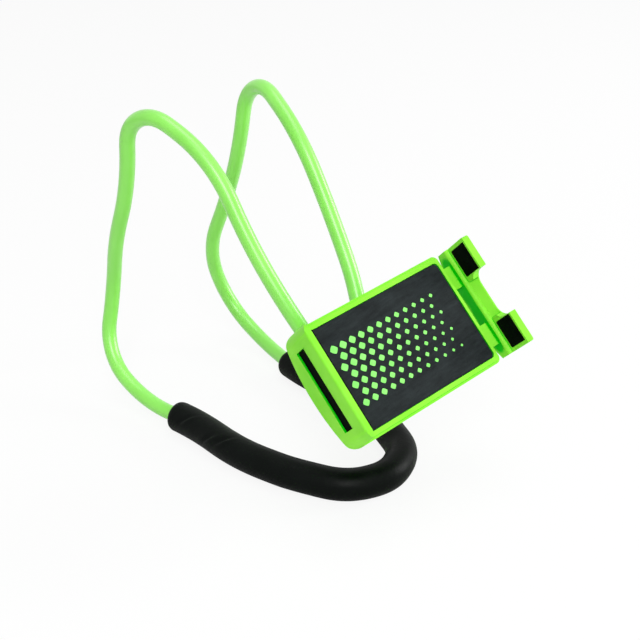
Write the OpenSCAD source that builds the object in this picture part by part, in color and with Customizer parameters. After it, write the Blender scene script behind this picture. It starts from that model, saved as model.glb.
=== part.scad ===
// Neck phone holder: a bendable green tube with a black foam neck sleeve,
// whose two ends meet in a ball mount that carries a sprung phone clamp.
// The tube stands on the flat under its foam sleeve, with +Z up and -Y to the front.
// The origin is on that flat, under the middle of the sleeve's closed end.

/* [Tube] */
// Outer diameter of the bendable tube
tube_d = 6.5; // [5:0.5:8]
// Diameter of the soft aluminium wire inside the tube
core_d = 4; // [2.5:0.5:4.5]
// Radial gap between wire and tube bore
core_gap = 0.15; // [0.1:0.05:0.3]
// Half width of the bent tube
arm_half = 36; // [34:1:44]
// Distance from the closed end of the loop to its rearmost bend
arm_depth = 142; // [130:1:156]
// Height of the arms above the tube's lowest run
arm_rise = 130; // [118:1:142]
// Lean of the tube ends from upright, where they enter the mount
entry_lean = 36.5; // [30:0.5:42]

/* [Foam sleeve] */
// Outer diameter of the foam sleeve
foam_d = 13.5; // [11:0.5:16]
// Length of the foam sleeve along the tube
foam_len = 218; // [200:1:240]
// Radial gap between foam and tube
foam_gap = 0.1; // [0.05:0.05:0.2]
// Depth of the flat that the sleeve rests on
foam_flat = 0.4; // [0.2:0.1:0.8]
// Rounding of the sleeve's ends
foam_round = 3; // [1:0.5:3]

/* [Ball mount] */
// Distance between the two tube ends
tube_gap = 28.6; // [27:0.2:31]
// Width of the mount block across both tubes
block_w = 39; // [38:1:44]
// Height of the block above the ball's centre
block_up = 11; // [11:0.5:14]
// Height of the block below the ball's centre
block_down = 10; // [10:0.5:13]
// Thickness of each half of the block
half_t = 5.5; // [5:0.5:7]
// Corner radius of the block
block_r = 5; // [2:0.5:5]
// Radius of the ball
ball_r = 5.5; // [5:0.25:6]
// Distance from the tubes' plane forward to the ball's centre
ball_ahead = 10.5; // [10.5:0.25:12]
// Running gap between ball and socket
ball_gap = 0.06; // [0.03:0.01:0.1]
// Outer radius of the socket's threaded boss
boss_r = 8.6; // [8.2:0.1:9]
// Outer radius of the lock collar
collar_r = 10.5; // [10.3:0.1:11]
// Length of the lock collar
collar_len = 6.8; // [6:0.2:7.4]
// How far the collar's lip reaches past the ball's centre
collar_lip = 2.4; // [2:0.1:2.6]

/* [Clamp rest position] */
// Sideways turn of the clamp on its ball
clamp_pan = -11; // [-15:1:5]
// Backward lean of the clamp on its ball
clamp_lean = -9; // [-12:1:5]
// Turn of the clamp about its own face
clamp_roll = 3.6; // [-180:0.1:180]

/* [Clamp body] */
// Length of the clamp body, across the two jaws
body_len = 73; // [70:1:80]
// Width of the clamp body, along the jaws
body_wid = 49; // [49:0.5:56]
// Depth of the body behind the pad's face
body_depth = 8.2; // [8:0.1:9.5]
// Height of the front plate's rim above the pad
rim_rise = 0.4; // [0.2:0.1:0.8]
// Thickness of the front plate below the pad's face
front_t = 2.6; // [2.4:0.1:3]
// Thickness of the rear cover's walls and floor
shell_t = 1.6; // [1.2:0.1:1.7]
// Corner radius of the clamp body at the moving jaw's end
body_r = 2.5; // [2:0.5:4]
// Corner radius of the clamp body at the fixed jaw
jaw_end_r = 5; // [3:0.5:6]
// Width of the step round the front rim
rim_step = 1; // [0.6:0.1:1.4]
// Distance from the body's centre to the ball, towards the fixed jaw
ball_off = 5.5; // [4:0.1:8]
// Length of the ball's neck between body and ball
neck_len = 2.8; // [2.8:0.1:4]
// Radius of the ball's neck
neck_r = 2.6; // [2.2:0.1:2.8]

/* [Grip pad] */
// Thickness of the black grip pad
pad_t = 1; // [0.8:0.1:1.2]
// Width of the rim left round the pad
pad_rim = 3; // [2.6:0.1:3.4]
// Width of the rim at the moving jaw's end
pad_end_rim = 2.2; // [2:0.1:3]
// Corner radius of the pad
pad_r = 1.5; // [1:0.5:2]
// Gap round the pad
pad_gap = 0.2; // [0.1:0.05:0.3]

/* [Jaws] */
// Height of both jaws above the pad
jaw_h = 11.7; // [10:0.1:14]
// Thickness of the fixed jaw
jaw_t = 2.7; // [2.5:0.1:3.4]
// How far the fixed jaw's curved back reaches behind the body at its middle
jaw_bulge = 5.8; // [2:0.2:7]
// How far the moving jaw's curved back reaches behind its ends
bar_bulge = 5; // [2:0.2:6]
// Rounding of the fixed jaw's outer edges
jaw_edge = 1.2; // [0.6:0.1:1.6]
// Thickness of the moving jaw
bar_t = 3; // [2.8:0.1:3.6]
// Gap between body and moving jaw when closed
jaw_gap = 6.4; // [5:0.1:8]
// Travel of the moving jaw
jaw_travel = 20; // [16:1:20]
// Height of the moving jaw between its prongs, above the pad
saddle_h = 2.5; // [2:0.1:3.5]
// Clear distance between the prongs
prong_gap = 20.6; // [18:0.2:24]
// Rounding at the foot of each prong
saddle_r = 5; // [4:0.5:6]
// Width of each of the two rails
rail_w = 9.7; // [9:0.1:10.4]
// Distance between the rails' centres
rail_pitch = 26.7; // [26:0.1:27.4]
// Thickness of the rails
rail_t = 3.3; // [3:0.1:3.4]
// Running gap round the rails
rail_gap = 0.3; // [0.2:0.05:0.4]
// Thickness of the rubber pads
rubber_t = 1.2; // [1:0.1:1.4]
// Depth of the pockets that hold the rubber pads
pocket_t = 1; // [0.6:0.1:1.2]
// Length of the window in the fixed jaw
window_len = 34; // [28:1:38]
// Height of the window in the fixed jaw
window_h = 6.3; // [5:0.1:7]
// Height of the lit ledge above the window
window_ledge = 2.3; // [1:0.1:3]
// Depth of the window's recess
window_sink = 0.5; // [0.3:0.1:0.8]

/* [Springs and screws] */
// Wire diameter of the jaw springs
wire_d = 0.6; // [0.5:0.05:0.7]
// Outer diameter of the jaw springs
coil_d = 3.4; // [3:0.1:3.5]
// Number of turns in each spring
coil_turns = 12; // [8:1:14]
// Pitch of the spring's turns
coil_pitch = 1.05; // [1:0.05:1.15]
// Radius of the spring pins
pin_r = 0.6; // [0.5:0.05:0.7]
// Shank radius of the cover and mount screws
screw_r = 1; // [0.8:0.05:1.1]
// Head radius of the screws
head_r = 1.9; // [1.7:0.05:2]
// Height of the screw heads
head_h = 0.95; // [0.8:0.05:1]

/* [Hidden] */

// Colours
lime = [0.45, 0.93, 0.16];
charcoal = [0.11, 0.12, 0.12];
steel = [0.75, 0.76, 0.78];

// Shared small sizes
over = 1;
screw_wall = 0.8;
seam = 0.1;
fit_gap = 0.03;
round_fn = 48;
tiny = 0.000001;
ring_turn = 10;
tube_sides = 20;
core_sides = 12;

// Route of the right half of the tube, as shares of arm_half, arm_depth and arm_rise
route_shares = [
    [0, 0, 0], [0.29, 0.02, 0], [0.74, 0.195, 0], [0.825, 0.275, 0], [0.93, 0.675, 0],
    [0.95, 0.705, 0], [0.91, 0.995, 0.19], [0.85, 1, 0.245], [0.845, 0.9, 0.63],
    [0.775, 0.69, 1.005], [0.725, 0.635, 0.98], [0.54, 0.305, 0.58]
];
// Share of depth and rise at which the tube enters the mount block
entry_shares = [0.174, 0.377];

tube_r = tube_d / 2;
core_r = core_d / 2;
foam_r = foam_d / 2;
lowest_z = foam_r - foam_flat;
entry_dir = [0, -sin(entry_lean), -cos(entry_lean)];
block_dir = -entry_dir;
ahead_dir = [0, -cos(entry_lean), sin(entry_lean)];
entry_point = [tube_gap / 2, arm_depth * entry_shares[0], lowest_z + arm_rise * entry_shares[1]];
route = concat(
    [for (s = route_shares) [s[0] * arm_half, s[1] * arm_depth, lowest_z + s[2] * arm_rise]],
    [entry_point]);
ball_centre = [0, entry_point[1], entry_point[2]] - block_up * block_dir + ball_ahead * ahead_dir;

// The tube's end inside the block, and the ferrule crimped on it
end_rest = 2.5;
stop_gap = 0.3;
insert_len = block_up + block_down - end_rest;
ferrule_t = 0.95;
ferrule_len = 4;
ferrule_back = 1.5;

// Screws of the mount block, along the block's height from the ball's centre
mount_screw_up = 8.2;
mount_screw_down = 7.4;
mount_screw_depth = 4.2;
drive_w = 0.5;
drive_depth = 0.45;

// Collar grips
grip_count = 18;
grip_r = 0.7;
thread_gap = 0.05;
boss_rise = 0.6;

// Clamp layout, measured from the centre of the body with the pad's face at zero height
ball_depth = body_depth + neck_len + ball_r;
rim_low = 0.8;
wall_in = -body_len / 2 + jaw_t;
pad_len = body_len / 2 - pad_end_rim - wall_in - pad_gap;
pad_wid = body_wid - 2 * pad_rim;
pad_x = (body_len / 2 - pad_end_rim + wall_in) / 2;
cavity_floor = -body_depth + shell_t;
rail_y = rail_pitch / 2;
rail_low = cavity_floor + rail_gap;
rail_top = rail_low + rail_t;
rail_from_jaw = 23.8;
rail_end = wall_in + rail_from_jaw;
jaw_in = body_len / 2 + jaw_gap;
jaw_inset = 0.45;
jaw_wid = body_wid - 2 * jaw_inset;
bar_ends = 6.3;
ear_l = 1.5;
ear_w = 1.1;
guide_t = 1;
guide_x = rail_end + ear_l + jaw_travel + rail_gap;
stop_t = 1.5;
spring_way = coil_d + 4 * rail_gap;
jaw_top_r = 5;
prong_r = 1;
ledge_t = 1.7;
ledge_r = 1.5;
ledge_sink = 0.3;
saddle_lip = 0.6;
saddle_side = 2;
window_low = 3.7;
plug_sink = 0.9;
rubber_foot = 0.8;
rubber_margin = 1;
rubber_side = 1.6;
rubber_foot_gap = 0.2;
prong_w = (jaw_wid - prong_gap) / 2;

// Fastening of the two body shells
screw_from_jaw = 6.8;
screw_from_end = 8.5;
cover_screw_x = [wall_in + screw_from_jaw, body_len / 2 - screw_from_end];
post_r = screw_r + screw_wall;
post_gap = 0.2;
cover_screw_y = rail_y - rail_w / 2 - rail_gap - guide_t - post_gap - post_r;
post_len = 2.8;
post_low = -front_t - post_len;
bore_roof = 0.3;
cover_boss_h = 1.1;

// Swivel between the ball's neck and the rear cover
swivel_boss_r = 5;
swivel_boss_h = 0.6;
shoulder_r = 4.2;
shoulder_t = 0.9;
washer_t = 0.55;
swivel_head_r = 3;
swivel_head_h = 1.5;
swivel_screw_len = 6;

// Springs
anchor_from_jaw = 3.8;
anchor_x = wall_in + anchor_from_jaw;
pin_from_end = 3;
jaw_pin_x = rail_end + pin_from_end;
pin_top = 3.2;
anchor_boss_r = 1.5;
anchor_boss_h = 0.8;
nose_len = 5.5;
nose_t = 1;
hook_gap = 0.05;
wire_sides = 6;
turn_rings = 8;
hook_rings = 8;
hook_turn = 255;

// Geometry of a smooth route made of circular arcs
function unit(v) = v / norm(v);
function lean_between(a, b, c) = unit(unit(b - a) * norm(c - b) + unit(c - b) * norm(b - a));
function directions(p, first, last) = [for (i = [0 : len(p) - 1])
    i == 0 ? first : i == len(p) - 1 ? last : lean_between(p[i - 1], p[i], p[i + 1])];
function arm_reach(v, w, c, t) = c < tiny ? (v * v) / (4 * (v * t))
    : (sqrt((v * w) * (v * w) + 2 * c * (v * v)) - v * w) / (2 * c);
function meeting_point(p, q, t, u) =
    (p + q + arm_reach(q - p, t + u, 1 - t * u, t) * (t - u)) / 2;
function sideways(v, t) = v - (v * t) * t;
function half_turn(v, t) = atan2(norm(sideways(v, t)), v * t);
function end_direction(p, t, q) = 2 * (unit(q - p) * t) * unit(q - p) - t;
function arc_length(p, t, q) = let (a = half_turn(q - p, t))
    a < 0.01 ? norm(q - p) : norm(q - p) * a * PI / 180 / sin(a);

// Every span between two route points is two arcs, each written as start, direction and end
route_dirs = directions(route, [1, 0, 0], entry_dir);
arcs = [for (i = [0 : len(route) - 2])
    let (m = meeting_point(route[i], route[i + 1], route_dirs[i], route_dirs[i + 1]))
    for (half = [0, 1])
        half == 0 ? [route[i], route_dirs[i], m]
                  : [m, end_direction(route[i], route_dirs[i], m), route[i + 1]]];
function run_before(i) = i == 0 ? 0
    : run_before(i - 1) + arc_length(arcs[i - 1][0], arcs[i - 1][1], arcs[i - 1][2]);
arc_starts = [for (i = [0 : len(arcs) - 1]) run_before(i)];

// Point at distance d along an arc, and the direction there
function arc_angle(p, t, q, d) = 2 * half_turn(q - p, t) * d / arc_length(p, t, q);
function arc_radius(p, t, q) = norm(q - p) / 2 / sin(half_turn(q - p, t));
function arc_point(p, t, q, d) = let (a = arc_angle(p, t, q, d), r = arc_radius(p, t, q))
    p + sin(a) * r * t + (1 - cos(a)) * r * unit(sideways(q - p, t));
function arc_direction(p, t, q, d) = let (a = arc_angle(p, t, q, d))
    cos(a) * t + sin(a) * unit(sideways(q - p, t));

// Rings of a swept rod along the route's right half, each a point and a direction
function rings_on(a, reach) = let (n = ceil(arc_angle(a[0], a[1], a[2], reach) / ring_turn))
    [for (k = [0 : n - 1]) [arc_point(a[0], a[1], a[2], reach * k / n),
                            arc_direction(a[0], a[1], a[2], reach * k / n)]];
function rings_to(reach) = [for (i = [0 : len(arcs) - 1])
    let (a = arcs[i], left = min(arc_length(a[0], a[1], a[2]), reach - arc_starts[i]))
    if (left > 0) for (ring = rings_on(a, left)) ring];
function end_ring(reach) = let (i = max([for (k = [0 : len(arcs) - 1]) arc_starts[k] < reach ? k : 0]),
                                a = arcs[i], d = reach - arc_starts[i])
    [arc_point(a[0], a[1], a[2], d), arc_direction(a[0], a[1], a[2], d)];
function mirrored(rings) = [for (i = [len(rings) - 1 : -1 : 1])
    [[-rings[i][0][0], rings[i][0][1], rings[i][0][2]],
     [rings[i][1][0], -rings[i][1][1], -rings[i][1][2]]]];
function whole(rings) = concat(mirrored(rings), rings);
function tube_rings(end_len) = whole(concat(rings_to(run_before(len(arcs))),
    [[entry_point, entry_dir], [entry_point + end_len * entry_dir, entry_dir]]));

// Skin swept through rings, with one radius for every ring
function carried(v, t) = unit(v - (v * t) * t);
function side_dirs(rings, i, v) = i == len(rings) ? []
    : let (w = carried(v, rings[i][1])) concat([w], side_dirs(rings, i + 1, w));
module swept(rings, radii, sides) {
    ups = side_dirs(rings, 0, carried([0.1, 0.2, 1], rings[0][1]));
    points = [for (i = [0 : len(rings) - 1]) let (u = ups[i], w = cross(rings[i][1], u))
        for (k = [0 : sides - 1])
            rings[i][0] + radii[i] * (cos(k * 360 / sides) * u + sin(k * 360 / sides) * w)];
    skin = [for (i = [0 : len(rings) - 2]) for (k = [0 : sides - 1])
        let (a = i * sides + k, b = i * sides + (k + 1) % sides)
        for (half = [0, 1]) half == 0 ? [a, a + sides, b] : [b, a + sides, b + sides]];
    last = (len(rings) - 1) * sides;
    polyhedron(points, concat(skin, [[for (k = [0 : sides - 1]) k]],
                              [[for (k = [sides - 1 : -1 : 0]) last + k]]));
}

module rod(rings, r, sides) {
    swept(rings, [for (ring = rings) r], sides);
}

// Frame of the mount: centred on the ball, Y up along the tubes, Z to the clamp
module in_mount() {
    translate(ball_centre) rotate([90 - entry_lean, 0, 0]) children();
}

// Frame of the clamp: centred on its body, with the pad's face at zero height
module in_clamp() {
    in_mount() rotate([0, clamp_pan, 0]) rotate([clamp_lean, 0, 0]) rotate([0, 0, clamp_roll])
        translate([ball_off, 0, ball_depth]) children();
}

// Rounded rectangle, with its own corner radius at either end of X
module rounded_outline(l, w, low_r, high_r) {
    translate([-l / 2 + low_r, -w / 2]) square([l - low_r - high_r, w]);
    translate([-l / 2, -w / 2 + low_r]) square([l / 2, w - 2 * low_r]);
    translate([0, -w / 2 + high_r]) square([l / 2, w - 2 * high_r]);
    for (y = [-1, 1]) {
        translate([-l / 2 + low_r, y * (w / 2 - low_r)]) circle(r = low_r, $fn = round_fn);
        translate([l / 2 - high_r, y * (w / 2 - high_r)]) circle(r = high_r, $fn = round_fn);
    }
}

module slab(l, w, low_r, high_r, low, high) {
    translate([0, 0, low]) linear_extrude(high - low) rounded_outline(l, w, low_r, high_r);
}

module block(low, high) {
    translate(low) cube(high - low);
}

// Screw with its head's outer face at zero height, and its shank up the Z axis
module screw(shank_r, cap_r, cap_h, reach) {
    difference() {
        union() {
            cylinder(h = cap_h, r = cap_r, $fn = round_fn);
            translate([0, 0, cap_h]) cylinder(h = reach, r = shank_r, $fn = round_fn);
        }
        for (a = [0, 90]) rotate([0, 0, a])
            block([-shank_r, -drive_w / 2, -over], [shank_r, drive_w / 2, drive_depth]);
    }
}

module core_wire() {
    color(steel) rod(tube_rings(insert_len), core_r, core_sides);
}

module bend_tube() {
    color(lime) difference() {
        rod(tube_rings(insert_len), tube_r, tube_sides);
        rod(tube_rings(insert_len + over), (core_r + core_gap) / cos(180 / core_sides), core_sides);
    }
}

// The sleeve narrows in rounded steps at both ends
foam_half = foam_len / 2 - foam_round;
foam_last = end_ring(foam_half);
foam_steps = [for (a = [0, 25, 50, 70, 90]) foam_round * sin(a)];
foam_rings = whole(concat(rings_to(foam_half),
    [for (d = foam_steps) [foam_last[0] + d * foam_last[1], foam_last[1]]]));
foam_end_radii = [for (d = foam_steps) foam_r - foam_round + sqrt(foam_round * foam_round - d * d)];
foam_bore_rings = whole(concat(rings_to(foam_half),
    [for (d = [0, foam_round + over]) [foam_last[0] + d * foam_last[1], foam_last[1]]]));
function foam_radius(i) = let (n = len(foam_rings), k = max(i, n - 1 - i) - (n - len(foam_steps)))
    k < 0 ? foam_r : foam_end_radii[k];

module foam_sleeve() {
    color(charcoal) difference() {
        swept(foam_rings, [for (i = [0 : len(foam_rings) - 1]) foam_radius(i)], tube_sides);
        rod(foam_bore_rings, (tube_r + foam_gap) / cos(180 / core_sides), core_sides);
        translate([-arm_half - foam_d, -foam_d, -foam_d])
            cube([2 * (arm_half + foam_d), arm_depth + foam_d, foam_d]);
    }
}

// Centres of the two tubes in the mount's frame
module at_tubes() {
    for (s = [-1, 1]) translate([s * tube_gap / 2, 0, -ball_ahead]) children();
}

tube_end_y = block_up - insert_len;

module tube_ferrules() {
    color(steel) in_mount() at_tubes()
        translate([0, tube_end_y + ferrule_back + ferrule_len, 0]) rotate([90, 0, 0]) difference() {
            cylinder(h = ferrule_len, r = tube_r + ferrule_t, $fn = round_fn);
            translate([0, 0, -over])
                cylinder(h = ferrule_len + 2 * over, r = tube_r + fit_gap, $fn = round_fn);
        }
}

// Room for the tube ends and their ferrules between the two halves of the block
module tube_seats() {
    at_tubes() {
        translate([0, block_up + over, 0]) rotate([90, 0, 0])
            cylinder(h = insert_len + over + stop_gap, r = tube_r + fit_gap, $fn = round_fn);
        translate([0, tube_end_y + ferrule_back + ferrule_len + fit_gap, 0]) rotate([90, 0, 0])
            cylinder(h = ferrule_len + 2 * fit_gap, r = tube_r + ferrule_t + fit_gap, $fn = round_fn);
    }
}

module block_half(low, high) {
    translate([0, (block_up - block_down) / 2, 0])
        slab(block_w, block_up + block_down, block_r, block_r, low, high);
}

mount_screw_ys = [mount_screw_up, -mount_screw_down];
back_face = -ball_ahead - half_t;

module mount_front() {
    color(lime) in_mount() difference() {
        union() {
            block_half(-ball_ahead, half_t - ball_ahead);
            translate([0, 0, half_t - ball_ahead])
                cylinder(h = ball_ahead - half_t + boss_rise, r = boss_r, $fn = 2 * round_fn);
        }
        sphere(r = ball_r + ball_gap, $fn = 2 * round_fn);
        tube_seats();
        for (y = mount_screw_ys) translate([0, y, -ball_ahead - over])
            cylinder(h = mount_screw_depth + over, r = screw_r + fit_gap, $fn = round_fn);
    }
}

module mount_back() {
    color(lime) in_mount() difference() {
        block_half(back_face, -ball_ahead - seam);
        tube_seats();
        for (y = mount_screw_ys) translate([0, y, back_face - over]) {
            cylinder(h = half_t + 2 * over, r = screw_r + fit_gap, $fn = round_fn);
            cylinder(h = over + head_h + seam, r = head_r + seam, $fn = round_fn);
        }
    }
}

module mount_screws() {
    color(steel) in_mount() for (y = mount_screw_ys) translate([0, y, back_face + seam])
        screw(screw_r, head_r, head_h, half_t - head_h - seam + mount_screw_depth - stop_gap);
}

module lock_collar() {
    color(charcoal) in_mount() difference() {
        translate([0, 0, collar_lip - collar_len])
            cylinder(h = collar_len, r = collar_r, $fn = 2 * round_fn);
        translate([0, 0, collar_lip - collar_len - over])
            cylinder(h = collar_len - collar_lip + boss_rise + stop_gap + over,
                     r = boss_r + thread_gap, $fn = 2 * round_fn);
        sphere(r = ball_r + ball_gap, $fn = 2 * round_fn);
        for (i = [1 : grip_count]) rotate([0, 0, i * 360 / grip_count])
            translate([collar_r, 0, collar_lip - collar_len - over])
                cylinder(h = collar_len + 2 * over, r = grip_r, $fn = round_fn);
    }
}

module at_ball() {
    translate([-ball_off, 0, 0]) children();
}

boss_top = cavity_floor + swivel_boss_h;
stud_top = boss_top + fit_gap;

module ball_stud() {
    color(charcoal) in_clamp() at_ball() difference() {
        union() {
            translate([0, 0, -ball_depth]) sphere(r = ball_r, $fn = 2 * round_fn);
            translate([0, 0, -ball_depth])
                cylinder(h = ball_depth + stud_top, r = neck_r, $fn = round_fn);
            translate([0, 0, -body_depth - seam - shoulder_t])
                cylinder(h = shoulder_t, r = shoulder_r, $fn = round_fn);
        }
        translate([0, 0, stud_top - swivel_screw_len - stop_gap])
            cylinder(h = swivel_screw_len + stop_gap + over, r = screw_r + fit_gap, $fn = round_fn);
    }
}

module swivel_washer() {
    color(steel) in_clamp() at_ball() translate([0, 0, stud_top]) difference() {
        cylinder(h = washer_t, r = shoulder_r, $fn = round_fn);
        translate([0, 0, -over])
            cylinder(h = washer_t + 2 * over, r = screw_r + seam, $fn = round_fn);
    }
}

module swivel_screw() {
    color(steel) in_clamp() at_ball()
        translate([0, 0, stud_top + washer_t + swivel_head_h]) mirror([0, 0, 1])
            screw(screw_r, swivel_head_r, swivel_head_h, swivel_screw_len + washer_t);
}

module at_cover_screws() {
    for (x = cover_screw_x) for (y = [-1, 1]) translate([x, y * cover_screw_y, 0]) children();
}

// A rib along both sides of each rail, from x = from to x = to
module rail_ribs(from, to) {
    for (s = [-1, 1]) for (e = [-1, 1])
        translate([from, s * rail_y + e * (rail_w / 2 + rail_gap + guide_t / 2) - guide_t / 2,
                   cavity_floor])
            cube([to - from, guide_t, -front_t - seam - cavity_floor]);
}

// Ribs that the rails rest against when the jaw is closed, open in the middle for the spring
module stop_ribs() {
    side = (rail_w - spring_way) / 2;
    for (s = [-1, 1]) for (e = [-1, 1])
        translate([rail_end - stop_t - seam, s * rail_y + e * (spring_way + side) / 2 - side / 2,
                   cavity_floor])
            cube([stop_t, side, -front_t - seam - cavity_floor]);
}

module rear_cover() {
    shell_low_x = wall_in + seam;
    color(lime) in_clamp() difference() {
        union() {
            difference() {
                intersection() {
                    slab(body_len, body_wid, jaw_end_r, body_r, -body_depth, -front_t - seam);
                    block([shell_low_x, -body_wid, -body_depth - over], [body_len, body_wid, 0]);
                }
                block([shell_low_x + shell_t, -body_wid / 2 + shell_t, cavity_floor],
                      [body_len / 2 - shell_t, body_wid / 2 - shell_t, 0]);
            }
            rail_ribs(guide_x, (body_len - shell_t) / 2);
            stop_ribs();
            at_cover_screws() translate([0, 0, cavity_floor])
                cylinder(h = cover_boss_h, r = post_r, $fn = round_fn);
            at_ball() translate([0, 0, cavity_floor])
                cylinder(h = swivel_boss_h, r = swivel_boss_r, $fn = round_fn);
            for (s = [-1, 1]) translate([anchor_x, s * rail_y, cavity_floor])
                cylinder(h = anchor_boss_h, r = anchor_boss_r, $fn = round_fn);
        }
        for (s = [-1, 1]) {
            block([body_len / 2 - shell_t - over, s * rail_y - rail_w / 2 - rail_gap, cavity_floor],
                  [body_len / 2 + over, s * rail_y + rail_w / 2 + rail_gap, 0]);
            translate([anchor_x, s * rail_y, cavity_floor - shell_t / 2])
                cylinder(h = shell_t + over, r = pin_r + fit_gap, $fn = round_fn);
        }
        at_cover_screws() translate([0, 0, -body_depth - over]) {
            cylinder(h = body_depth, r = screw_r + seam, $fn = round_fn);
            cylinder(h = over + head_h + seam, r = head_r + seam, $fn = round_fn);
        }
        at_cover_screws() translate([0, 0, post_low - seam])
            cylinder(h = post_len + over, r = post_r + seam, $fn = round_fn);
        at_ball() translate([0, 0, -body_depth - over])
            cylinder(h = body_depth, r = neck_r + thread_gap, $fn = round_fn);
    }
}

module cover_screws() {
    color(steel) in_clamp() at_cover_screws() translate([0, 0, -body_depth + seam])
        screw(screw_r, head_r, head_h, body_depth - front_t - head_h - seam);
}

// Radius of a curved back that is wide across its ends and bulges by rise at its middle
function back_radius(wide, rise) = (wide * wide / 4 + rise * rise) / (2 * rise);

module fixed_jaw_wall() {
    deep = body_depth + jaw_bulge;
    back_r = back_radius(body_wid, jaw_bulge);
    intersection() {
        slab(body_len, body_wid, jaw_end_r, jaw_end_r, -deep, jaw_h);
        block([-body_len / 2, -body_wid / 2, -deep], [wall_in, body_wid / 2, jaw_h]);
        translate([-body_len / 2 - over, 0, 0]) rotate([90, 0, 90]) linear_extrude(jaw_t + 2 * over) {
            translate([-body_wid / 2 + jaw_top_r, -deep])
                square([body_wid - 2 * jaw_top_r, deep + jaw_h]);
            translate([-body_wid / 2, -deep])
                square([body_wid, deep + jaw_h - jaw_top_r]);
            for (s = [-1, 1]) translate([s * (body_wid / 2 - jaw_top_r), jaw_h - jaw_top_r])
                circle(r = jaw_top_r, $fn = round_fn);
        }
        translate([-body_len / 2, 0, back_r - deep]) rotate([90, 0, 90])
            rotate_extrude($fn = 4 * round_fn) {
                square([back_r - jaw_edge, jaw_t]);
                translate([0, jaw_edge]) square([back_r, jaw_t - jaw_edge]);
                translate([back_r - jaw_edge, jaw_edge]) circle(r = jaw_edge, $fn = round_fn);
            }
        translate([-body_len / 2, body_wid / 2 + over, 0]) rotate([90, 0, 0])
            linear_extrude(body_wid + 2 * over) {
                translate([0, -deep]) square([jaw_t, deep + jaw_h - jaw_edge]);
                translate([jaw_edge, -deep]) square([jaw_t - jaw_edge, deep + jaw_h]);
                translate([jaw_edge, jaw_h - jaw_edge]) circle(r = jaw_edge, $fn = round_fn);
            }
    }
}

module front_plate() {
    color(lime) in_clamp() difference() {
        union() {
            slab(body_len, body_wid, jaw_end_r, body_r, -front_t, -rim_low);
            slab(body_len - 2 * rim_step, body_wid - 2 * rim_step, jaw_end_r - rim_step,
                 body_r - rim_step, -rim_low, rim_rise);
            fixed_jaw_wall();
            at_cover_screws() translate([0, 0, post_low])
                cylinder(h = post_len, r = post_r, $fn = round_fn);
        }
        translate([pad_x, 0, 0])
            slab(pad_len + 2 * pad_gap, pad_wid + 2 * pad_gap, pad_r + pad_gap, pad_r + pad_gap,
                 -pad_t, jaw_h);
        block([-body_len / 2 - over, -window_len / 2, -window_low],
              [wall_in, window_len / 2, window_h - window_low]);
        block([-body_len / 2 - over, -window_len / 2, -window_low],
              [-body_len / 2 + window_sink, window_len / 2, window_h - window_low + window_ledge]);
        at_cover_screws() translate([0, 0, post_low - over])
            cylinder(h = over + post_len + bore_roof, r = screw_r + fit_gap, $fn = round_fn);
    }
}

module grip_pad() {
    color(charcoal) in_clamp() translate([pad_x, 0, 0])
        slab(pad_len, pad_wid, pad_r, pad_r, -pad_t + fit_gap, 0);
}

// A strip on the jaw's inner face, with a plug that fills the window behind it
module fixed_jaw_rubber() {
    edge = (body_wid - window_len) / 4;
    half = window_len / 2 - fit_gap;
    top = window_h - window_low - fit_gap;
    color(charcoal) in_clamp() {
        block([-body_len / 2 + plug_sink, -half, -window_low + fit_gap],
              [wall_in - fit_gap, half, top]);
        block([-body_len / 2 + plug_sink, -half, rubber_foot],
              [wall_in + rubber_foot / 2, half, top]);
        block([wall_in + fit_gap, -body_wid / 2 + edge, rubber_foot],
              [wall_in + rubber_foot, body_wid / 2 - edge, jaw_h - rubber_margin]);
    }
}

// Outline of the moving jaw seen from the pad: a bar with a curved back and a prong at each end
module jaw_outline() {
    deep = bar_ends + bar_bulge;
    full = deep + jaw_h;
    back_r = back_radius(jaw_wid, bar_bulge);
    difference() {
        intersection() {
            union() {
                translate([-jaw_wid / 2, -deep]) square([jaw_wid, full - prong_r]);
                translate([-jaw_wid / 2 + prong_r, -deep]) square([jaw_wid - 2 * prong_r, full]);
                for (s = [-1, 1]) translate([s * (jaw_wid / 2 - prong_r), jaw_h - prong_r])
                    circle(r = prong_r, $fn = round_fn);
            }
            translate([0, back_r - deep]) circle(r = back_r, $fn = 4 * round_fn);
        }
        translate([-prong_gap / 2, saddle_h + saddle_r]) square([prong_gap, jaw_h]);
        translate([-prong_gap / 2 + saddle_r, saddle_h]) square([prong_gap - 2 * saddle_r, jaw_h]);
        for (s = [-1, 1]) translate([s * (prong_gap / 2 - saddle_r), saddle_h + saddle_r])
            circle(r = saddle_r, $fn = round_fn);
    }
}

// Section of what is cut away above the ledge below the prongs, which has a round edge
module ledge_cut() {
    difference() {
        translate([-ledge_t - over, -ledge_r]) square([ledge_t + over, jaw_h + 2 * ledge_r]);
        translate([ledge_r - ledge_t, -ledge_r]) circle(r = ledge_r, $fn = round_fn);
        translate([ledge_r - ledge_t, -ledge_r - over]) square([ledge_t, ledge_r + over]);
    }
}

// Section of the slope from the ledge up to the thin lip between the prongs
module saddle_cut() {
    back = bar_t - saddle_lip;
    polygon([[-ledge_t, 0], [0, 0], [back, saddle_h + ledge_sink], [back, jaw_h], [-ledge_t, jaw_h]]);
}

pocket_w = prong_w - rubber_side - rubber_foot_gap;
prong_y = prong_gap / 2 + rubber_foot_gap + pocket_w / 2;
pocket_top = jaw_h - rubber_margin;

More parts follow.
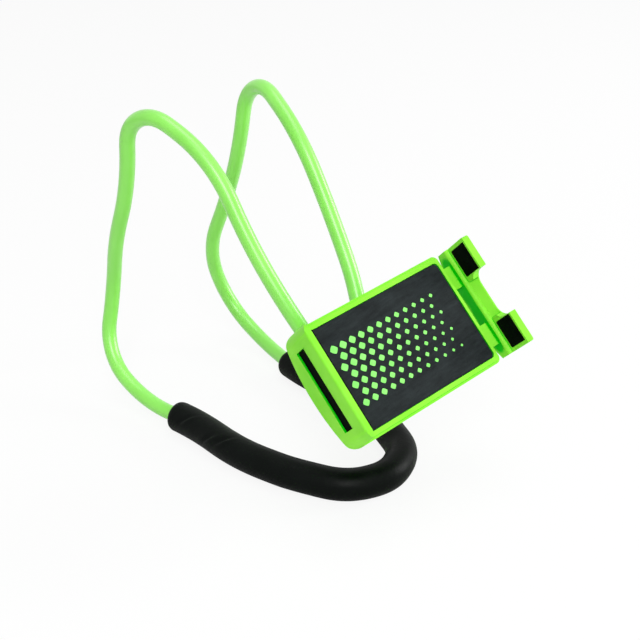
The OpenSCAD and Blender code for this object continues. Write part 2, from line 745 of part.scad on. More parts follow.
module moving_jaw() {
    color(lime) in_clamp() difference() {
        union() {
            translate([jaw_in - ledge_t, 0, 0]) rotate([90, 0, 90])
                linear_extrude(ledge_t + bar_t) jaw_outline();
            for (s = [-1, 1]) translate([0, s * rail_y, 0]) {
                block([rail_end, -rail_w / 2, rail_low], [jaw_in + bar_t / 2, rail_w / 2, rail_top]);
                translate([0, -s * ear_w / 2, 0])
                    block([rail_end, -(rail_w + ear_w) / 2, rail_low],
                          [rail_end + ear_l, (rail_w + ear_w) / 2, rail_top]);
            }
        }
        translate([jaw_in, 0, -ledge_sink]) rotate([90, 0, 0]) {
            linear_extrude(2 * jaw_wid, center = true) ledge_cut();
            linear_extrude(prong_gap - 2 * saddle_side, center = true) saddle_cut();
        }
        for (s = [-1, 1]) {
            translate([0, s * prong_y, 0])
                block([jaw_in - over, -pocket_w / 2, rubber_foot],
                      [jaw_in + pocket_t, pocket_w / 2, pocket_top]);
            translate([0, s * rail_y, 0]) {
                block([rail_end - over, -spring_way / 2, rail_low + nose_t],
                      [rail_end + nose_len, spring_way / 2, rail_top + over]);
                translate([jaw_pin_x, 0, rail_low - over])
                    cylinder(h = rail_t, r = pin_r + fit_gap, $fn = round_fn);
            }
        }
    }
}

module prong_rubber(side) {
    color(charcoal) in_clamp() translate([0, side * prong_y, 0])
        block([jaw_in + pocket_t - rubber_t, -pocket_w / 2 + fit_gap, rubber_foot + fit_gap],
              [jaw_in + pocket_t - fit_gap, pocket_w / 2 - fit_gap, pocket_top - fit_gap]);
}

module upper_prong_rubber() {
    prong_rubber(1);
}

module lower_prong_rubber() {
    prong_rubber(-1);
}

module spring_anchor_pins() {
    low = cavity_floor - shell_t / 2 + fit_gap;
    color(steel) in_clamp() for (s = [-1, 1]) translate([anchor_x, s * rail_y, low])
        cylinder(h = -pin_top - low, r = pin_r, $fn = round_fn);
}

module spring_jaw_pins() {
    color(steel) in_clamp() for (s = [-1, 1]) translate([jaw_pin_x, s * rail_y, rail_low])
        cylinder(h = -pin_top - rail_low, r = pin_r, $fn = round_fn);
}

// Centre line of one spring: a hook round each pin, and the turns between them
spring_z = (cavity_floor - front_t) / 2;
coil_r = (coil_d - wire_d) / 2;
hook_r = pin_r + wire_d / 2 + hook_gap;
coil_len = coil_turns * coil_pitch;
coil_start = (anchor_x + jaw_pin_x - coil_len) / 2;
turn_step = 360 / turn_rings;
function hook(x, from) = [for (i = [0 : hook_rings]) let (a = from - hook_turn * i / hook_rings)
    [x + hook_r * cos(a), hook_r * sin(a), 0]];
turns_line = [for (i = [0 : coil_turns * turn_rings])
    [coil_start + coil_pitch * i / turn_rings, coil_r * cos(i * turn_step), coil_r * sin(i * turn_step)]];
spring_line = concat(hook(anchor_x, 300), turns_line, hook(jaw_pin_x, 135));
function line_dir(p, i) = unit(p[min(i + 1, len(p) - 1)] - p[max(i - 1, 0)]);
spring_rings = [for (i = [0 : len(spring_line) - 1]) [spring_line[i], line_dir(spring_line, i)]];

module jaw_springs() {
    color(steel) in_clamp() for (s = [-1, 1]) translate([0, s * rail_y, spring_z])
        rod(spring_rings, wire_d / 2, wire_sides);
}

core_wire();
bend_tube();
foam_sleeve();
tube_ferrules();
mount_front();
mount_back();
mount_screws();
lock_collar();
ball_stud();
swivel_washer();
swivel_screw();
rear_cover();
cover_screws();
front_plate();
grip_pad();
fixed_jaw_rubber();
moving_jaw();
upper_prong_rubber();
lower_prong_rubber();
jaw_springs();
spring_anchor_pins();
spring_jaw_pins();
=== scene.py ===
"""Neck phone holder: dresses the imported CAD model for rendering. Lengths are in metres."""

import math

import bmesh
import bpy
import numpy as np
from mathutils import Matrix, Vector, noise


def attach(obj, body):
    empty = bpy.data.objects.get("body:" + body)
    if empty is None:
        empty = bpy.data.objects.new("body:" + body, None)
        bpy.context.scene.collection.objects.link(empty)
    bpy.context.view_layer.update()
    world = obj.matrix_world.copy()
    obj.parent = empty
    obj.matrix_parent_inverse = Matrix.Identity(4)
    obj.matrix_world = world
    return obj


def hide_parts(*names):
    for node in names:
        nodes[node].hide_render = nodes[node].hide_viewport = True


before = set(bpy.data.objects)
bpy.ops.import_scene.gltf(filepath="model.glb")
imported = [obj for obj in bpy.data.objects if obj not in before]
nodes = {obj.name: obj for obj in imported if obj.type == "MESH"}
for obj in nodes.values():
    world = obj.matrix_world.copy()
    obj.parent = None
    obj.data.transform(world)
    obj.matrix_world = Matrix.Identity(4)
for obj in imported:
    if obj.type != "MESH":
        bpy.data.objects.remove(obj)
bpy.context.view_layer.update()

MM = 0.001

# The same sizes and points as in part.scad
TUBE_R = 3.25 * MM
FOAM_R = 6.75 * MM
FOAM_FLAT = 0.4 * MM
FOAM_HALF = 109 * MM
FOAM_ROUND = 3 * MM
ARM = (36 * MM, 142 * MM, 130 * MM)
LOWEST = FOAM_R - FOAM_FLAT
LEAN = math.radians(36.5)
INSERT = 18.5 * MM
ROUTE_SHARES = (
    (0, 0, 0),
    (0.29, 0.02, 0),
    (0.74, 0.195, 0),
    (0.825, 0.275, 0),
    (0.93, 0.675, 0),
    (0.95, 0.705, 0),
    (0.91, 0.995, 0.19),
    (0.85, 1, 0.245),
    (0.845, 0.9, 0.63),
    (0.775, 0.69, 1.005),
    (0.725, 0.635, 0.98),
    (0.54, 0.305, 0.58),
)
HALF_GAP = 14.3 * MM
ENTRY_SHARES = (0.174, 0.377)
ENTRY = Vector((HALF_GAP, ARM[1] * ENTRY_SHARES[0], LOWEST + ARM[2] * ENTRY_SHARES[1]))
ENTRY_DIR = Vector((0, -math.sin(LEAN), -math.cos(LEAN)))
AHEAD = Vector((0, -math.cos(LEAN), math.sin(LEAN)))
BLOCK_UP = 11 * MM
BALL_AHEAD = 10.5 * MM
BALL = Vector((0, ENTRY.y, ENTRY.z)) + BLOCK_UP * ENTRY_DIR + BALL_AHEAD * AHEAD
CLAMP_PAN = math.radians(-11)
CLAMP_LEAN = math.radians(-9)
CLAMP_ROLL = math.radians(3.6)
BALL_OFF = 5.5 * MM
BALL_DEPTH = 16.5 * MM
CLAMP = (
    Matrix.Translation(BALL)
    @ Matrix.Rotation(math.pi / 2 - LEAN, 4, "X")
    @ Matrix.Rotation(CLAMP_PAN, 4, "Y")
    @ Matrix.Rotation(CLAMP_LEAN, 4, "X")
    @ Matrix.Rotation(CLAMP_ROLL, 4, "Z")
    @ Matrix.Translation((BALL_OFF, 0, BALL_DEPTH))
)

# Camera, fitted to the photograph
CAMERA_PLACE = (-0.2839, -0.2540, 0.27965)
CAMERA_BACK = (-0.6145, -0.6331, 0.4707)
CAMERA_RIGHT = (0.7175, -0.6965, 0)
CAMERA_LENS = 65
CAMERA_SENSOR = 36
CAMERA_NEAR = 0.01

# Tube and sleeve: what counts as straight, row spacing, sides, easing of the bends, and the
# way that angle 0 points
STRAIGHT_TURN = 1e-9
STRAIGHT_BEND = 1e-4
ROUTE_STEP = 1.2 * MM
TUBE_SIDES = 40
FOAM_SIDES = 56
FOAM_STEP = 0.45 * MM
FOAM_FINE_REACH = 44 * MM
EASE_PASSES = 60
EASE_SHARES = (0.5, -0.51)
FIRST_UP = Vector((0.02, 0.05, 1))

# Skin of the sleeve: gap to the solid, rounded ends, faint lumps and the flat underside
SKIN_GAP = 0.12 * MM
CROWN_SHARE = 0.8
LUMPS_ALONG = 55
LUMPS_ROUND = 1.6
LUMPS_FINER = 3.1
LUMP_HEIGHTS = (0.1 * MM, 0.05 * MM)
LUMP_MEAN_SHARE = 0.55
LUMP_TOP_SHARE = 0.45
FLOOR_GAP = 0.02 * MM
FLAT_BLEND = 0.25 * MM

# Creases: each one's distance from the left end, angle round the sleeve and depth
CREASES = (
    (11 * MM, 0.85, 0.5 * MM),
    (27.5 * MM, 1.15, 0.75 * MM),
    (35 * MM, 0.75, 0.6 * MM),
)
CREASE_WIDE = 1.1 * MM
CREASE_SLANT = -6 * MM
CREASE_REACH = 0.42
CREASE_LIP = 0.7
CREASE_LIP_OFFSET = 1.7

# Rubber pieces in the clamp's frame: lowest and highest corners
PAD_BOX = ((-33.7 * MM, -21.5 * MM, -0.97 * MM), (34.1 * MM, 21.5 * MM, 0))
PLUG_BOX = ((-35.6 * MM, -16.97 * MM, -3.67 * MM), (-33.7 * MM, 16.97 * MM, 2.57 * MM))
STRIP_BOX = ((-33.77 * MM, -20.75 * MM, 0.8 * MM), (-33 * MM, 20.75 * MM, 10.7 * MM))
PRONG_X = (42.7 * MM, 43.87 * MM)
PRONG_Z = (0.83 * MM, 10.67 * MM)
PRONG_MIDDLE = 16.475 * MM
PRONG_HALF = 5.915 * MM
RUBBER_CORNER = 0.3 * MM
CORNER_STEPS = 8
RIM_STEPS = 3
BOX_SHARP_ANGLE = math.radians(50)

# Printed diamonds: pitch, half the field's size, smallest radius, and what the largest adds
PRINT_PITCH = 4.4 * MM
PRINT_ROW_SHARE = 0.86
PRINT_COLUMNS = range(-6, 7)
PRINT_ROWS = range(-4, 5)
PRINT_HALF = (25 * MM, 15 * MM)
PRINT_FADE = (0.75, 0.25)
DIAMOND_R = 0.55 * MM
DIAMOND_GROWTH = 1.25 * MM
DIAMOND_POWER = 1.25
DIAMOND_SIDES = 16
PRINT_BOTTOM = -0.2 * MM
PRINT_TOP = 0.05 * MM

# Rounded edges of the mouldings
MERGE_GAP = 0.001 * MM
FLAT_ANGLE = math.radians(0.5)
EDGE_ANGLE = math.radians(35)
EDGE_STEPS = 2
LIME_EDGE = 0.3 * MM
COLLAR_EDGE = 0.2 * MM
BALL_EDGE = 0.15 * MM

# Stage
WHITE = (1, 1, 1, 1)
FLOOR_HALF = 6
FLOOR_DROP = 0.1 * MM
FLOOR_GREY = (0.8, 0.8, 0.8, 1)
FLOOR_WHITE = 0.88
SOFT_LIGHT = 0.42
LAMP_AIM = (0, 0.05, 0.06)

# Lamps: place, size and power
LAMPS = {
    "key": ((0.1, 0.05, 1.65), (0.9, 0.9), 8),
    "side": ((1.0, -0.55, 0.4), (0.4, 0.7), 9),
    "front": ((-0.7, -0.8, 1.0), (0.5, 0.8), 12),
}

# Metals: how much dimmer their streaks are
METAL_DIM = 0.86


# General helpers
def add_object(name, data):
    obj = bpy.data.objects.new(name, data)
    bpy.context.scene.collection.objects.link(obj)
    return obj


def smooth_faces(mesh):
    for face in mesh.polygons:
        face.use_smooth = True


def fix_normals(mesh):
    bm = bmesh.new()
    bm.from_mesh(mesh)
    bmesh.ops.recalc_face_normals(bm, faces=bm.faces)
    bm.to_mesh(mesh)
    bm.free()


def srgb(r, g, b):
    """Linear colour from 0 to 255 display values."""
    out = []
    for v in (r, g, b):
        v /= 255
        out.append(v / 12.92 if v <= 0.04045 else ((v + 0.055) / 1.055) ** 2.4)
    return (*out, 1)


# Camera
def add_camera():
    back = Vector(CAMERA_BACK).normalized()
    right = Vector(CAMERA_RIGHT).normalized()
    up = back.cross(right)
    data = bpy.data.cameras.new("camera")
    data.lens = CAMERA_LENS
    data.sensor_width = CAMERA_SENSOR
    data.clip_start = CAMERA_NEAR
    obj = add_object("camera", data)
    turn = Matrix((right, up, back)).transposed().to_4x4()
    obj.matrix_world = Matrix.Translation(CAMERA_PLACE) @ turn
    bpy.context.scene.camera = obj


# Route
def biarc(p, q, t, u):
    """Meeting point of two arcs that join p to q with directions t and u."""
    v = q - p
    w = t + u
    c = 1 - t.dot(u)
    if c < STRAIGHT_TURN:
        d = v.dot(v) / (4 * v.dot(t))
    else:
        d = (math.sqrt(v.dot(w) ** 2 + 2 * c * v.dot(v)) - v.dot(w)) / (2 * c)
    return (p + q + d * (t - u)) / 2


def arc(p, t, q):
    """Rows along the arc from p to q that leaves p along t, and its direction at q."""
    v = q - p
    side = v - v.dot(t) * t
    bend = math.atan2(side.length, v.dot(t))
    if bend < STRAIGHT_BEND:
        n = max(1, round(v.length / ROUTE_STEP))
        return [(p + v * k / n, t.copy()) for k in range(n)], v.normalized()
    radius = v.length / 2 / math.sin(bend)
    side.normalize()
    n = max(1, round(2 * bend * radius / ROUTE_STEP))
    rows = []
    for k in range(n):
        a = 2 * bend * k / n
        place = p + math.sin(a) * radius * t + (1 - math.cos(a)) * radius * side
        rows.append((place, math.cos(a) * t + math.sin(a) * side))
    return rows, math.cos(2 * bend) * t + math.sin(2 * bend) * side


def half_route():
    """Rows of point and direction, from the middle of the sleeve to the tube's end."""
    pts = [
        Vector((a * ARM[0], b * ARM[1], LOWEST + c * ARM[2])) for a, b, c in ROUTE_SHARES
    ]
    pts.append(ENTRY)
    dirs = [Vector((1, 0, 0))]
    for a, b, c in zip(pts, pts[1:], pts[2:]):
        into = (b - a).normalized() * (c - b).length
        out = (c - b).normalized() * (b - a).length
        dirs.append((into + out).normalized())
    dirs.append(ENTRY_DIR)
    rows = []
    for p, q, t, u in zip(pts, pts[1:], dirs, dirs[1:]):
        meeting = biarc(p, q, t, u)
        part, turned = arc(p, t, meeting)
        rows += part
        part, _ = arc(meeting, turned, q)
        rows += part
    rows.append((ENTRY, ENTRY_DIR))
    rows.append((ENTRY + INSERT * ENTRY_DIR, ENTRY_DIR))
    return rows


def whole_route(rows):
    """The mirrored half, then the half itself."""
    left = [
        (Vector((-p.x, p.y, p.z)), Vector((t.x, -t.y, -t.z))) for p, t in rows[:0:-1]
    ]
    return left + rows


def eased(rows):
    """The rows with their points smoothed, as a bent tube has no sudden change of bend."""
    pts = np.array([p for p, _ in rows])
    for _ in range(EASE_PASSES):
        for share in EASE_SHARES:
            pts[1:-1] += share * ((pts[:-2] + pts[2:]) / 2 - pts[1:-1])
    steps = np.gradient(pts, axis=0)
    steps /= np.linalg.norm(steps, axis=1)[:, None]
    return [(Vector(p), Vector(t)) for p, t in zip(pts, steps)]


def cut_about_middle(rows, half):
    """The rows within half a length of the middle one, with an exact end on each side."""
    middle = len(rows) // 2
    sides = []
    for part in (rows[middle:], rows[middle::-1]):
        run = 0
        kept = [part[0]]
        for (a, _), (b, t) in zip(part, part[1:]):
            step = (b - a).length
            if run + step >= half:
                kept.append((a.lerp(b, (half - run) / step), t))
                break
            run += step
            kept.append((b, t))
        sides.append(kept)
    return sides[1][:0:-1] + sides[0]


def refined(rows):
    """More rows: each gap is halved, or near both ends cut into short steps for creases."""
    out = []
    run = 0
    total = sum((b[0] - a[0]).length for a, b in zip(rows, rows[1:]))
    for (a, t), (b, u) in zip(rows, rows[1:]):
        step = (b - a).length
        near = min(run, total - run - step) < FOAM_FINE_REACH
        n = max(1, math.ceil(step / FOAM_STEP)) if near else 2
        for k in range(n):
            out.append((a.lerp(b, k / n), t.lerp(u, k / n).normalized()))
        run += step
    out.append(rows[-1])
    return out


def sweep(rows, sides, radius, name):
    """Closed mesh swept along rows; radius(distance, angle) gives its radius."""
    verts = []
    up = FIRST_UP
    run = 0
    last = rows[0][0]
    for p, t in rows:
        run += (p - last).length
        last = p
        up = (up - up.dot(t) * t).normalized()
        side = t.cross(up)
        for k in range(sides):
            a = 2 * math.pi * k / sides
            verts.append(p + radius(run, a) * (math.cos(a) * up + math.sin(a) * side))
    faces = []
    for i in range(len(rows) - 1):
        for k in range(sides):
            a = i * sides + k
            b = i * sides + (k + 1) % sides
            faces.append((a, a + sides, b + sides, b))
    end = (len(rows) - 1) * sides
    faces.append(tuple(range(sides)))
    faces.append(tuple(end + k for k in reversed(range(sides))))
    mesh = bpy.data.meshes.new(name)
    mesh.from_pydata(verts, [], faces)
    mesh.update()
    for f in mesh.polygons:
        f.use_smooth = len(f.vertices) == 4
    fix_normals(mesh)
    return add_object(name, mesh)


# Materials
def enabled(sockets, name):
    """The enabled socket with this name, as a Mix node has one for each kind of value."""
    return next(s for s in sockets if s.name == name and s.enabled)


class Wiring:
    """Short ways to build a node tree. They take and give sockets."""

    def __init__(self, tree):
        self.tree = tree

    def add(self, kind, **settings):
        node = self.tree.nodes.new(kind)
        for key, value in settings.items():
            setattr(node, key, value)
        return node

    def feed(self, value, into):
        """Links a socket into an input, or sets the input to a plain value."""
        if isinstance(value, bpy.types.NodeSocket):
            self.tree.links.new(value, into)
        else:
            into.default_value = value

    def maths(self, operation, a, b):
        """Result of a Math node on two sockets or numbers."""
        node = self.add("ShaderNodeMath", operation=operation)
        self.feed(a, node.inputs[0])
        self.feed(b, node.inputs[1])
        return node.outputs[0]

    def mix_shaders(self, factor, first, second, output):
        """Sends a mix of two shader nodes to an output node; factor picks the second."""
        mix = self.add("ShaderNodeMixShader")
        self.feed(factor, mix.inputs["Fac"])
        self.feed(first.outputs[0], mix.inputs[1])
        self.feed(second.outputs[0], mix.inputs[2])
        self.feed(mix.outputs[0], self.tree.nodes[output].inputs["Surface"])


class Surface(Wiring):
    """Wiring of a Principled material."""

    def __init__(self, name):
        self.mat = bpy.data.materials.new(name)
        self.mat.use_nodes = True
        super().__init__(self.mat.node_tree)
        self.bsdf = self.tree.nodes["Principled BSDF"]

    def put(self, **values):
        """Sets or links inputs of the shader."""
        for key, value in values.items():
            self.feed(value, self.bsdf.inputs[key.replace("_", " ")])

    def noise(self, scale, detail=3, stretch=(1, 1, 1), rough=0.5):
        """Noise in object space; a stretch above 1 packs it closer along that axis."""
        mapping = self.add("ShaderNodeMapping")
        self.feed(self.add("ShaderNodeTexCoord").outputs["Object"], mapping.inputs["Vector"])
        self.feed(stretch, mapping.inputs["Scale"])
        tex = self.add("ShaderNodeTexNoise")
        self.feed(mapping.outputs["Vector"], tex.inputs["Vector"])
        self.feed(scale, tex.inputs["Scale"])
        self.feed(detail, tex.inputs["Detail"])
        self.feed(rough, tex.inputs["Roughness"])
        return tex.outputs["Fac"]

    def pores(self, scale):
        tex = self.add("ShaderNodeTexVoronoi")
        self.feed(self.add("ShaderNodeTexCoord").outputs["Object"], tex.inputs["Vector"])
        self.feed(scale, tex.inputs["Scale"])
        return tex.outputs["Distance"]

    def ramp(self, source, low, high, start=0.3, end=0.7):
        """Blends from the colour low, where source is start, to high, where it is end."""
        node = self.add("ShaderNodeValToRGB")
        for stop, place, colour in zip(node.color_ramp.elements, (start, end), (low, high)):
            stop.position = place
            stop.color = colour
        self.feed(source, node.inputs["Fac"])
        return node.outputs["Color"]

    def grey(self, source, low, high, start=0.3, end=0.7):
        return self.ramp(source, (low, low, low, 1), (high, high, high, 1), start, end)

    def bump(self, height, strength, distance, below=None):
        node = self.add("ShaderNodeBump")
        self.feed(strength, node.inputs["Strength"])
        self.feed(distance, node.inputs["Distance"])
        self.feed(height, node.inputs["Height"])
        if below is not None:
            self.feed(below, node.inputs["Normal"])
        return node.outputs["Normal"]


def lime_plastic():
    """Moulded plastic: faint flow marks, painted shade in its hollows (a deep green mixed in by
    ambient occlusion), slight orange peel.
    """
    m = Surface("lime_moulding")
    shell = m.ramp(m.noise(60), srgb(128, 224, 52), srgb(142, 232, 64), 0.35, 0.65)
    # Painted shade: where ambient occlusion finds the surface hemmed in, the colour turns deep
    # green, darkening recesses and gaps between parts.
    painted_shade_ao = m.add("ShaderNodeAmbientOcclusion", samples=64)
    m.feed(8 * MM, painted_shade_ao.inputs["Distance"])
    painted_shade_mix = m.add("ShaderNodeMix", data_type="RGBA")
    m.feed(m.grey(painted_shade_ao.outputs["AO"], 0, 1, 0.53, 0.58), enabled(painted_shade_mix.inputs, "Factor"))
    # Deep green of the painted shade in the hollows
    m.feed(srgb(0, 196, 3), enabled(painted_shade_mix.inputs, "A"))
    m.feed(shell, enabled(painted_shade_mix.inputs, "B"))
    m.put(
        Base_Color=enabled(painted_shade_mix.outputs, "Result"),
        Roughness=m.grey(m.noise(260, detail=4), 0.34, 0.46),
        Normal=m.bump(m.noise(900, detail=2), strength=0.05, distance=0.05 * MM),
        Specular_IOR_Level=0.1,
    )
    return m.mat


def tube_vinyl():
    m = Surface("lime_vinyl")
    m.put(
        Base_Color=m.ramp(m.noise(45, detail=2), srgb(124, 216, 68), srgb(134, 226, 80)),
        Roughness=m.grey(m.noise(60, detail=2), 0.38, 0.44),
        Coat_Weight=1,
        Coat_Roughness=0.3,
    )
    return m.mat


def foam_skin_material():
    """Closed skin with fine pores over soft lumps."""
    m = Surface("black_foam_skin")
    mottle = m.noise(90, detail=5, rough=0.6)
    lumps = m.bump(m.noise(420), strength=0.22, distance=0.4 * MM)
    m.put(
        Base_Color=m.ramp(mottle, srgb(2, 5, 3), srgb(7, 11, 9)),
        Roughness=m.grey(mottle, 0.36, 0.5),
        Normal=m.bump(m.pores(2300), strength=0.18, distance=0.12 * MM, below=lumps),
        Specular_IOR_Level=0.07,
    )
    return m.mat


def pad_material():
    """Matt foam rubber with a mottled face and faint rub marks along its length."""
    m = Surface("charcoal_pad")
    cloud = m.noise(110, detail=8, rough=0.75)
    marks = m.noise(60, detail=5, stretch=(1, 9, 5), rough=0.7)
    mean = m.maths("MULTIPLY", m.maths("ADD", cloud, marks), 0.5)
    grain = m.noise(1000, detail=5, rough=0.75)
    m.put(
        Base_Color=m.ramp(mean, srgb(20, 24, 25), srgb(42, 48, 49), 0.36, 0.64),
        Roughness=m.grey(cloud, 0.66, 0.86),
        Normal=m.bump(grain, strength=0.6, distance=0.3 * MM),
        Specular_IOR_Level=0.1,
    )
    return m.mat


def rubber_material():
    m = Surface("black_rubber")
    cloud = m.noise(150)
    m.put(
        Base_Color=m.ramp(cloud, srgb(1, 4, 2), srgb(6, 10, 7)),
        Roughness=m.grey(cloud, 0.6, 0.75),
        Normal=m.bump(m.noise(2400, detail=2), strength=0.2, distance=0.1 * MM),
        Specular_IOR_Level=0.02,
    )
    return m.mat


def black_plastic_material():
    """Moulded plastic whose edges catch the light."""
    m = Surface("black_plastic")
    cloud = m.noise(120)
    edges = m.add("ShaderNodeBevel", samples=6)
    m.feed(0.3 * MM, edges.inputs["Radius"])
    grain = m.noise(2000, detail=2)
    m.put(
        Base_Color=m.ramp(cloud, srgb(26, 27, 27), srgb(38, 39, 40)),
        Roughness=m.grey(cloud, 0.34, 0.5),
        Normal=m.bump(grain, strength=0.12, distance=0.1 * MM, below=edges.outputs["Normal"]),
    )
    return m.mat


def metal_material(name, light, rough, stretch):
    """Bare metal with faint streaks of a dimmer tone; rough gives the two roughnesses."""
    m = Surface(name)
    streak = m.noise(500, stretch=stretch)
    dim = tuple(METAL_DIM * c for c in light)
    m.put(
        Base_Color=m.ramp(streak, (*dim, 1), (*light, 1), 0.35, 0.65),
        Roughness=m.grey(streak, *rough),
        Normal=m.bump(streak, strength=0.08, distance=0.1 * MM),
        Metallic=1,
    )
    return m.mat


def print_material():
    m = Surface("green_print")
    cloud = m.noise(300, detail=4)
    m.put(
        Base_Color=m.ramp(cloud, srgb(122, 222, 96), srgb(140, 240, 112)),
        Roughness=m.grey(cloud, 0.45, 0.6),
    )
    return m.mat


# Mouldings and metal parts
def finish_node(name, material):
    """Gives a CAD node that stays a finer material."""
    for slot in nodes[name].material_slots:
        slot.material = material


def softened(node, name, body, material, width):
    """A moulded copy of a CAD node whose sharp edges are rounded by width."""
    mesh = nodes[node].data.copy()
    mesh.name = name
    bm = bmesh.new()
    bm.from_mesh(mesh)
    bmesh.ops.remove_doubles(bm, verts=bm.verts, dist=MERGE_GAP)
    bmesh.ops.dissolve_limit(bm, angle_limit=FLAT_ANGLE, verts=bm.verts, edges=bm.edges)
    bm.to_mesh(mesh)
    bm.free()
    mesh.materials.clear()
    mesh.materials.append(material)
    smooth_faces(mesh)
    obj = add_object(name, mesh)
    bevel = obj.modifiers.new("soft_edges", "BEVEL")
    bevel.width = width
    bevel.segments = EDGE_STEPS
    bevel.limit_method = "ANGLE"
    bevel.angle_limit = EDGE_ANGLE
    bevel.use_clamp_overlap = True
    flat = obj.modifiers.new("flat_faces", "WEIGHTED_NORMAL")
    flat.keep_sharp = True
    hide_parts(node)
    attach(obj, body)


# Tube and sleeve
def add_tube(route, material):
    obj = sweep(route, TUBE_SIDES, lambda run, a: TUBE_R, "tube_skin")
    obj.data.materials.append(material)
    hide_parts("bend_tube")
    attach(obj, "frame")


def crown_drop(run):
    """How much the radius loses at a distance along the sleeve, as its ends are rounded."""
    near_end = max(0, min(run, 2 * FOAM_HALF - run))
    d = max(FOAM_ROUND - near_end, 0)
    return CROWN_SHARE * (FOAM_ROUND - math.sqrt(max(FOAM_ROUND * FOAM_ROUND - d * d, 0)))


def lump_rise(run, a):
    """Height of the faint lumps, which are strongest on the sleeve's upper side."""
    spot = Vector((run * LUMPS_ALONG, LUMPS_ROUND * math.cos(a), LUMPS_ROUND * math.sin(a)))
    coarse = LUMP_HEIGHTS[0] * noise.noise(spot)
    fine = LUMP_HEIGHTS[1] * noise.noise(spot * LUMPS_FINER)
    return (coarse + fine) * (LUMP_MEAN_SHARE + LUMP_TOP_SHARE * math.cos(a))


def crease_drop(run, a):
    """Depth of the creases, each of which has a raised lip on one side."""
    drop = 0
    for place, turn, depth in CREASES:
        d = (run - place - CREASE_SLANT * (a - turn)) / CREASE_WIDE
        e = (a - turn) / CREASE_REACH
        lip = CREASE_LIP * math.exp(-((d - CREASE_LIP_OFFSET) ** 2))
        drop += depth * (math.exp(-d * d) - lip) * math.exp(-e * e)
    return drop


def foam_radius(run, a):
    return FOAM_R - SKIN_GAP - crown_drop(run) + lump_rise(run, a) - crease_drop(run, a)


def add_foam(route, material):
    """Foam sleeve with soft rounded ends, light lumps, and creases where it is bent."""
    rows = refined(cut_about_middle(route, FOAM_HALF))
    obj = sweep(rows, FOAM_SIDES, foam_radius, "foam_skin")
    for v in obj.data.vertices:
        above = v.co.z - FLOOR_GAP
        v.co.z = FLOOR_GAP + (above + math.sqrt(above * above + FLAT_BLEND**2)) / 2
    obj.data.materials.append(material)
    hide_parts("foam_sleeve")
    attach(obj, "frame")


# Pad, print and rubbers, made in the clamp's frame
def add_prism(bm, ring, bottom, top):
    """Closed prism over a ring of plan points."""
    lower = [bm.verts.new((x, y, bottom)) for x, y in ring]
    upper = [bm.verts.new((x, y, top)) for x, y in ring]
    bm.faces.new(upper)
    bm.faces.new(list(reversed(lower)))
    n = len(ring)
    for k in range(n):
        bm.faces.new((lower[k], lower[(k + 1) % n], upper[(k + 1) % n], upper[k]))


def clamp_object(name, bm):
    """New object from a mesh made in the clamp's frame."""
    mesh = bpy.data.meshes.new(name)
    bm.to_mesh(mesh)
    bm.free()
    mesh.transform(CLAMP)
    return add_object(name, mesh)


def rounded_box(name, low, high, corner, edge):
    """Box with rounded plan corners and softened edges."""
    x0, y0, z0 = low
    x1, y1, z1 = high
    ring = []
    for cx, cy, start in (
        (x1 - corner, y1 - corner, 0),
        (x0 + corner, y1 - corner, 90),
        (x0 + corner, y0 + corner, 180),
        (x1 - corner, y0 + corner, 270),
    ):
        for k in range(CORNER_STEPS + 1):
            a = math.radians(start + 90 * k / CORNER_STEPS)
            ring.append((cx + corner * math.cos(a), cy + corner * math.sin(a)))
    bm = bmesh.new()
    add_prism(bm, ring, z0, z1)
    rims = [e for e in bm.edges if len({v.co.z for v in e.verts}) == 1]
    bmesh.ops.bevel(bm, geom=rims, offset=edge, segments=RIM_STEPS, affect="EDGES", profile=0.5)
    bmesh.ops.recalc_face_normals(bm, faces=bm.faces)
    obj = clamp_object(name, bm)
    smooth_faces(obj.data)
    obj.data.set_sharp_from_angle(angle=BOX_SHARP_ANGLE)
    return obj


def add_pad(material):
    pad = rounded_box("grip_mat", *PAD_BOX, corner=1.5 * MM, edge=0.25 * MM)
    pad.data.materials.append(material)
    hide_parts("grip_pad")
    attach(pad, "clamp")


def diamond_ring(x, y, r):
    """Plan points of a diamond with soft corners."""
    ring = []
    for k in range(DIAMOND_SIDES):
        a = 2 * math.pi * k / DIAMOND_SIDES
        c = math.cos(a)
        s = math.sin(a)
        reach = r / (abs(c) ** DIAMOND_POWER + abs(s) ** DIAMOND_POWER) ** (1 / DIAMOND_POWER)
        ring.append((x + reach * c, y + reach * s))
    return ring


def add_print(material):
    """Plain halftone of diamonds on the pad, in the photograph's green."""
    bm = bmesh.new()
    half_x, half_y = PRINT_HALF
    for i in PRINT_COLUMNS:
        for j in PRINT_ROWS:
            x = (i + 0.5 * (j % 2)) * PRINT_PITCH
            y = j * PRINT_PITCH * PRINT_ROW_SHARE
            if abs(x) > half_x or abs(y) > half_y:
                continue
            growth = 0.5 - 0.5 * (x / half_x * PRINT_FADE[0] - y / half_y * PRINT_FADE[1])
            ring = diamond_ring(x, y, DIAMOND_R + DIAMOND_GROWTH * growth)
            add_prism(bm, ring, PRINT_BOTTOM, PRINT_TOP)
    obj = clamp_object("pad_print", bm)
    obj.data.materials.append(material)
    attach(obj, "clamp")


def joined(name, objs):
    with bpy.context.temp_override(
        active_object=objs[0], selected_editable_objects=objs, object=objs[0]
    ):
        bpy.ops.object.join()
    objs[0].name = name
    objs[0].data.name = name
    return objs[0]


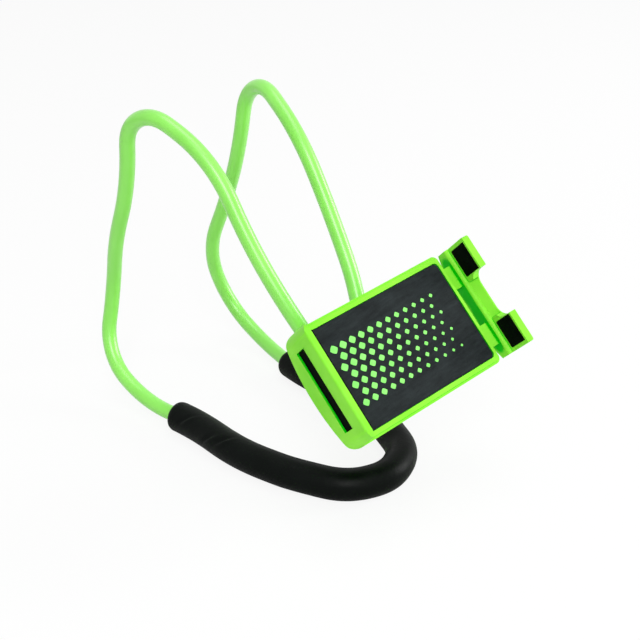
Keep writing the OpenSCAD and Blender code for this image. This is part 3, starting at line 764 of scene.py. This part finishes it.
def add_rubbers(material):
    plug = rounded_box("plug", *PLUG_BOX, corner=RUBBER_CORNER, edge=0.15 * MM)
    strip = rounded_box("strip", *STRIP_BOX, corner=RUBBER_CORNER, edge=0.2 * MM)
    fixed = joined("fixed_rubber_pads", [plug, strip])
    fixed.data.materials.append(material)
    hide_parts("fixed_jaw_rubber")
    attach(fixed, "clamp")
    for side, node in ((1, "upper_prong_rubber"), (-1, "lower_prong_rubber")):
        middle = side * PRONG_MIDDLE
        low = (PRONG_X[0], middle - PRONG_HALF, PRONG_Z[0])
        high = (PRONG_X[1], middle + PRONG_HALF, PRONG_Z[1])
        name = node.replace("rubber", "pad")
        pad = rounded_box(name, low, high, corner=RUBBER_CORNER, edge=0.2 * MM)
        pad.data.materials.append(material)
        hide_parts(node)
        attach(pad, "jaw")


# Stage
def add_floor():
    """Floor that looks nearly white to the camera and keeps the object's shadow."""
    s = FLOOR_HALF
    mesh = bpy.data.meshes.new("floor")
    mesh.from_pydata([(-s, -s, 0), (s, -s, 0), (s, s, 0), (-s, s, 0)], [], [(0, 1, 2, 3)])
    floor = add_object("floor", mesh)
    floor.location.z = -FLOOR_DROP
    m = Surface("pale_floor")
    m.put(Base_Color=FLOOR_GREY, Roughness=0.9, Specular_IOR_Level=0.1)
    seen = m.add("ShaderNodeLightPath").outputs["Is Camera Ray"]
    share = m.maths("MULTIPLY", seen, FLOOR_WHITE)
    m.mix_shaders(share, m.bsdf, m.add("ShaderNodeEmission"), "Material Output")
    mesh.materials.append(m.mat)


def add_world():
    """Soft light on the object, and plain white where the world itself is seen."""
    world = bpy.data.worlds.new("studio")
    bpy.context.scene.world = world
    world.use_nodes = True
    w = Wiring(world.node_tree)
    soft = w.tree.nodes["Background"]
    white = w.add("ShaderNodeBackground")
    for background, strength in ((soft, SOFT_LIGHT), (white, 1)):
        w.feed(WHITE, background.inputs["Color"])
        w.feed(strength, background.inputs["Strength"])
    path = w.add("ShaderNodeLightPath")
    seen = path.outputs["Is Camera Ray"]
    for ray in ("Is Glossy Ray", "Is Transmission Ray"):
        seen = w.maths("MAXIMUM", seen, path.outputs[ray])
    w.mix_shaders(seen, soft, white, "World Output")


def add_lamp(name, place, size, power):
    """Rectangular lamp that points at the object."""
    data = bpy.data.lights.new(name, "AREA")
    data.shape = "RECTANGLE"
    data.size, data.size_y = size
    data.energy = power
    obj = add_object(name, data)
    obj.location = place
    way = Vector(LAMP_AIM) - Vector(place)
    obj.rotation_euler = way.to_track_quat("-Z", "Y").to_euler()


add_camera()
lime = lime_plastic()
black = black_plastic_material()
steel = metal_material("zinc_steel", (0.62, 0.62, 0.6), (0.24, 0.4), (1, 1, 6))
wire = metal_material("drawn_aluminium", (0.78, 0.79, 0.8), (0.29, 0.45), (1, 6, 1))
rubber = rubber_material()
route = eased(whole_route(half_route()))
add_tube(route, tube_vinyl())
add_foam(route, foam_skin_material())
add_pad(pad_material())
add_print(print_material())
add_rubbers(rubber)
for node, name, body in (
    ("mount_front", "mount_front_half", "frame"),
    ("mount_back", "mount_back_half", "frame"),
    ("rear_cover", "rear_shell", "clamp"),
    ("front_plate", "front_shell", "clamp"),
    ("moving_jaw", "sliding_jaw", "jaw"),
):
    softened(node, name, body, lime, LIME_EDGE)
softened("lock_collar", "knurled_collar", "collar", black, COLLAR_EDGE)
softened("ball_stud", "ball_and_neck", "ball", black, BALL_EDGE)
for name in (
    "tube_ferrules",
    "mount_screws",
    "swivel_washer",
    "swivel_screw",
    "cover_screws",
    "jaw_springs",
    "spring_anchor_pins",
    "spring_jaw_pins",
):
    finish_node(name, steel)
finish_node("core_wire", wire)
add_floor()
add_world()
for name, (place, size, power) in LAMPS.items():
    add_lamp(name, place, size, power)
scene = bpy.context.scene
scene.view_settings.view_transform = "Standard"
